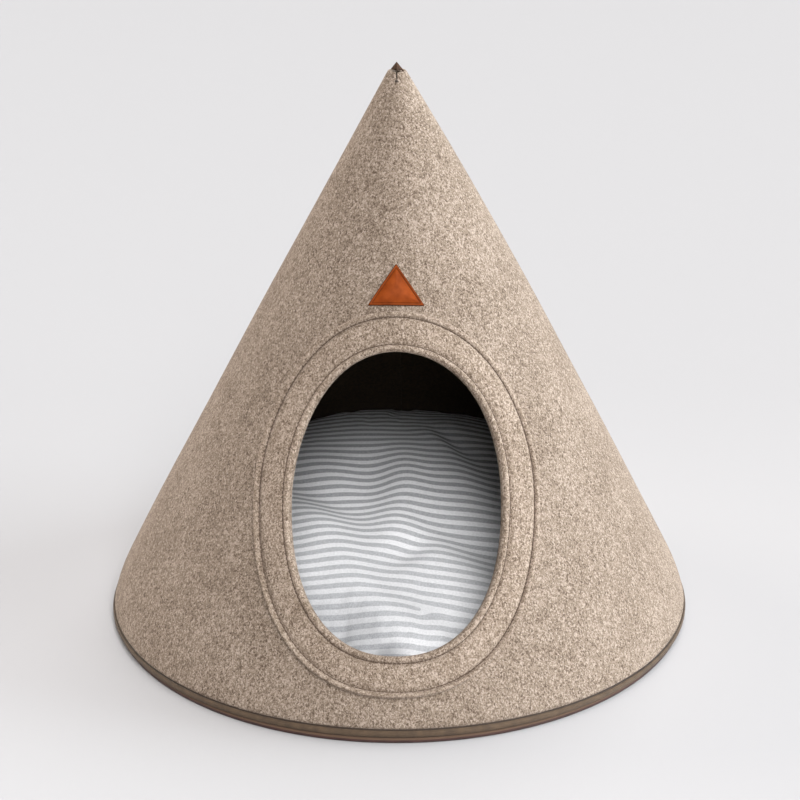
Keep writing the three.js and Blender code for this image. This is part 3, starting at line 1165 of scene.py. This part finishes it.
def weave(look, first, second, pitch):
    """Over and under of two sets of threads, from 0 to 1"""
    turn = 2 * math.pi / pitch
    warp = look.math("SINE", look.times(first, turn))
    weft = look.math("SINE", look.times(second, turn))
    return look.math("MULTIPLY_ADD", look.times(warp, weft), 0.5, 0.5)


def tape_material():
    look = Shader("tape", Roughness=0.85, Sheen_Weight=0.05)
    place = look.place()
    axes = look.axes(place)
    around = look.times(look.math("ARCTAN2", axes["Y"], axes["X"]), BASE_RADIUS * MM)
    ribs = weave(look, around, axes["Z"], pitch=1.2 * MM)
    colour = look.tones(look.noise(place, size=9, detail=3), TAPE_COLOURS)
    colour = look.blend(look.times(ribs, TAPE_RIB_SHARE), colour, rgb(TAPE_RIB_COLOUR))
    return look.finish(colour, look.bump(ribs, rise=0.25))


def base_material():
    look = Shader("base cover", Roughness=0.9, Sheen_Weight=0.05)
    place = look.place()
    axes = look.axes(place)
    threads = weave(look, axes["X"], axes["Y"], pitch=1.4 * MM)
    # painted highlight: the base's upper edge is paler, where light falls on its top
    edge = look.span(axes["Z"], BASE_HIGHLIGHT_LOW * MM, BASE_HIGHLIGHT_TOP * MM)
    colour = look.tones(look.noise(place, size=12, detail=3), BASE_COLOURS)
    colour = look.blend(look.times(edge, BASE_HIGHLIGHT_SHARE), colour, rgb(BASE_HIGHLIGHT_COLOUR))
    colour = look.blend(look.times(threads, BASE_THREAD_SHARE), colour, rgb(BASE_THREAD_COLOUR))
    return look.finish(colour, look.bump(threads, rise=0.2))


def thread_material(name, colours):
    look = Shader(name, Roughness=0.8, Sheen_Weight=0.1)
    twist = look.noise(look.place(), size=0.5)
    return look.finish(look.tones(twist, colours), look.bump(twist, rise=0.15))


def leather_material():
    look = Shader("leather", Roughness=0.5, Specular_IOR_Level=0.05)
    place = look.place()
    colour = look.tones(look.noise(place, size=9, detail=3), LEATHER_COLOURS)
    inset = look.node("ShaderNodeAttribute", {}, attribute_name="inset").outputs["Fac"]
    rim = look.times(look.fall(inset, *RIM_END), RIM_SHARE)
    line = look.times(look.span(inset, *LINE_START), look.fall(inset, *LINE_END))
    dark = look.math("MAXIMUM", rim, look.times(line, LINE_SHARE))
    colour = look.blend(dark, colour, rgb(LEATHER_LINE_COLOUR))
    inputs = {"Vector": place, "Scale": 1 / (LEATHER_GRAIN * MM)}
    grain = look.node("ShaderNodeTexVoronoi", inputs, feature="SMOOTH_F1").outputs["Distance"]
    return look.finish(colour, look.bump(grain, rise=0.12))


def cap_material():
    look = Shader("cap leather", Roughness=0.7, Specular_IOR_Level=0.15)
    place = look.place()
    colour = look.tones(look.noise(place, size=2.5, detail=3), CAP_COLOURS)
    return look.finish(colour, look.bump(look.noise(place, size=0.6), rise=0.15))


def tucked_stripe(look, place):
    """Share of one stripe that the tuck takes up round its place, and how strong the stripes are there"""
    axes = look.axes(place)
    aside = look.minus(axes["X"], TUCK_X * MM)
    before = look.minus(TUCK_Y * MM, axes["Y"])
    turn = look.math("ARCTAN2", aside, before)
    strength = look.span(look.distance(aside, before), 0, TUCK_FADE * MM)
    return look.span(turn, math.radians(TUCK_START), math.radians(TUCK_END)), strength


def stripes(look, place, cloth):
    """1 on a stripe and 0 between two, over places on the flat cloth"""
    skewed = look.plus(cloth["Y"], cloth["X"], share=math.tan(math.radians(STRIPE_SKEW)))
    beat = look.times(look.minus(skewed, STRIPE_START), 1 / STRIPE_PERIOD)
    taken, strength = tucked_stripe(look, place)
    beat = look.minus(beat, taken)
    ragged = look.plus(beat, look.noise(place, size=1.2), share=STRIPE_RAGGED)
    from_middle = look.math("PINGPONG", ragged, 0.5)
    edge = STRIPE_SHARE / 2
    return look.times(look.fall(from_middle, edge - STRIPE_SOFT, edge + STRIPE_SOFT), strength)


def painted_shade(look, place):
    """How much painted shade darkens the cover, from 0 to 1"""
    axes = look.axes(place)
    turn = math.radians(PAINTED_SHADE_TURN)
    forward = look.times(axes["Y"], -math.cos(turn))
    forward = look.plus(forward, axes["X"], share=-math.sin(turn))
    band = look.times(look.span(forward, PAINTED_SHADE_START * MM, PAINTED_SHADE_FULL * MM), PAINTED_SHADE_SHARE)
    band = look.times(band, look.fall(axes["X"], PAINTED_SHADE_LEFT * MM, PAINTED_SHADE_RIGHT * MM))
    aside = look.times(look.minus(axes["X"], SHADE_SPOT_X * MM), 1 / (SHADE_SPOT_HALF_WIDTH * MM))
    behind = look.times(look.minus(axes["Y"], SHADE_SPOT_Y * MM), 1 / (SHADE_SPOT_HALF_DEPTH * MM))
    shade_spot = look.times(look.fall(look.distance(aside, behind), 0, 1), SHADE_SPOT_SHARE)
    return look.math("MAXIMUM", band, shade_spot)


def cotton_material():
    """Grey and white stripes across a plain weave"""
    look = Shader("striped cotton", Roughness=0.9, Sheen_Weight=0.1)
    place = look.place()
    cloth = look.axes(look.node("ShaderNodeUVMap", {}, uv_map="cloth").outputs["UV"])
    heather = look.noise(place, size=1.6, detail=3, roughness=0.7)
    # painted light and shade: the grey stripes are paler near the doorway and darker deeper in
    stripe_shade = look.span(look.axes(place)["Y"], STRIPES_LIT_DEPTH * MM, STRIPES_SHADED_DEPTH * MM)
    stripe = look.blend(stripe_shade, look.tones(heather, LIT_STRIPE_COLOURS), look.tones(heather, STRIPE_COLOURS))
    colour = look.blend(stripes(look, place, cloth), look.tones(heather, WHITE_COLOURS), stripe)
    # painted shade on the cover's front left and at the middle of its front
    colour = look.blend(painted_shade(look, place), colour, rgb(PAINTED_SHADE_COLOUR))
    threads = weave(look, cloth["X"], cloth["Y"], pitch=0.7)
    return look.finish(colour, look.bump(threads, rise=0.12))


# Stage

def floor_material():
    look = Shader("floor", Roughness=0.8)
    # painted light and shade: the floor is paler near the part and darker further back
    reach = FLOOR_FAR - FLOOR_NEAR
    depth = look.axes(look.place())["Y"]
    share = look.times(look.minus(depth, FLOOR_NEAR), 1 / reach)
    stops = (0, (FLOOR_MIDDLE - FLOOR_NEAR) / reach, 1)
    return look.finish(look.ramp(share, stops, [rgb(colour) for colour in FLOOR_COLOURS]))


def add_floor():
    half = FLOOR_SIZE / 2
    mesh = bpy.data.meshes.new("floor")
    corners = [(-half, -half, 0), (half, -half, 0), (half, half, 0), (-half, half, 0)]
    mesh.from_pydata(corners, [], [(0, 1, 2, 3)])
    mesh.materials.append(floor_material())
    floor = bpy.data.objects.new("floor", mesh)
    bpy.context.collection.objects.link(floor)


def add_light(light):
    data = bpy.data.lights.new(light.name, "SUN")
    data.energy = light.power
    data.color = light.colour
    data.angle = math.radians(light.spread)
    lamp = bpy.data.objects.new(light.name, data)
    turn = math.radians(light.turn)
    rise = math.radians(light.rise)
    towards = Vector((math.sin(turn) * math.cos(rise), -math.cos(turn) * math.cos(rise), math.sin(rise)))
    lamp.rotation_euler = towards.to_track_quat("Z", "Y").to_euler()
    bpy.context.collection.objects.link(lamp)


def add_world():
    world = bpy.data.worlds.new("studio")
    world.use_nodes = True
    background = world.node_tree.nodes["Background"]
    background.inputs["Color"].default_value = (*WHITE, 1)
    background.inputs["Strength"].default_value = WORLD_POWER
    bpy.context.scene.world = world


def add_camera():
    data = bpy.data.cameras.new("camera")
    data.lens = CAMERA_LENS
    data.sensor_width = CAMERA_SENSOR
    camera = bpy.data.objects.new("camera", data)
    turn = Matrix.Rotation(math.radians(CAMERA_TURN), 4, "Z")
    tilt = Matrix.Rotation(math.radians(CAMERA_TILT), 4, "X")
    roll = Matrix.Rotation(math.radians(CAMERA_ROLL), 4, "Z")
    camera.matrix_world = Matrix.Translation(CAMERA_PLACE) @ turn @ tilt @ roll
    bpy.context.collection.objects.link(camera)
    bpy.context.scene.camera = camera


bpy.context.scene.view_settings.view_transform = "Standard"
add_camera()
add_floor()
add_world()
for light in LIGHTS:
    add_light(light)
base_disc()
felt_cone()
inner_lining()
facing_ring()
stitching()
hem_thread_and_shade()
hem_tape()
leather_triangle()
cap_tip()
striped_cushion()
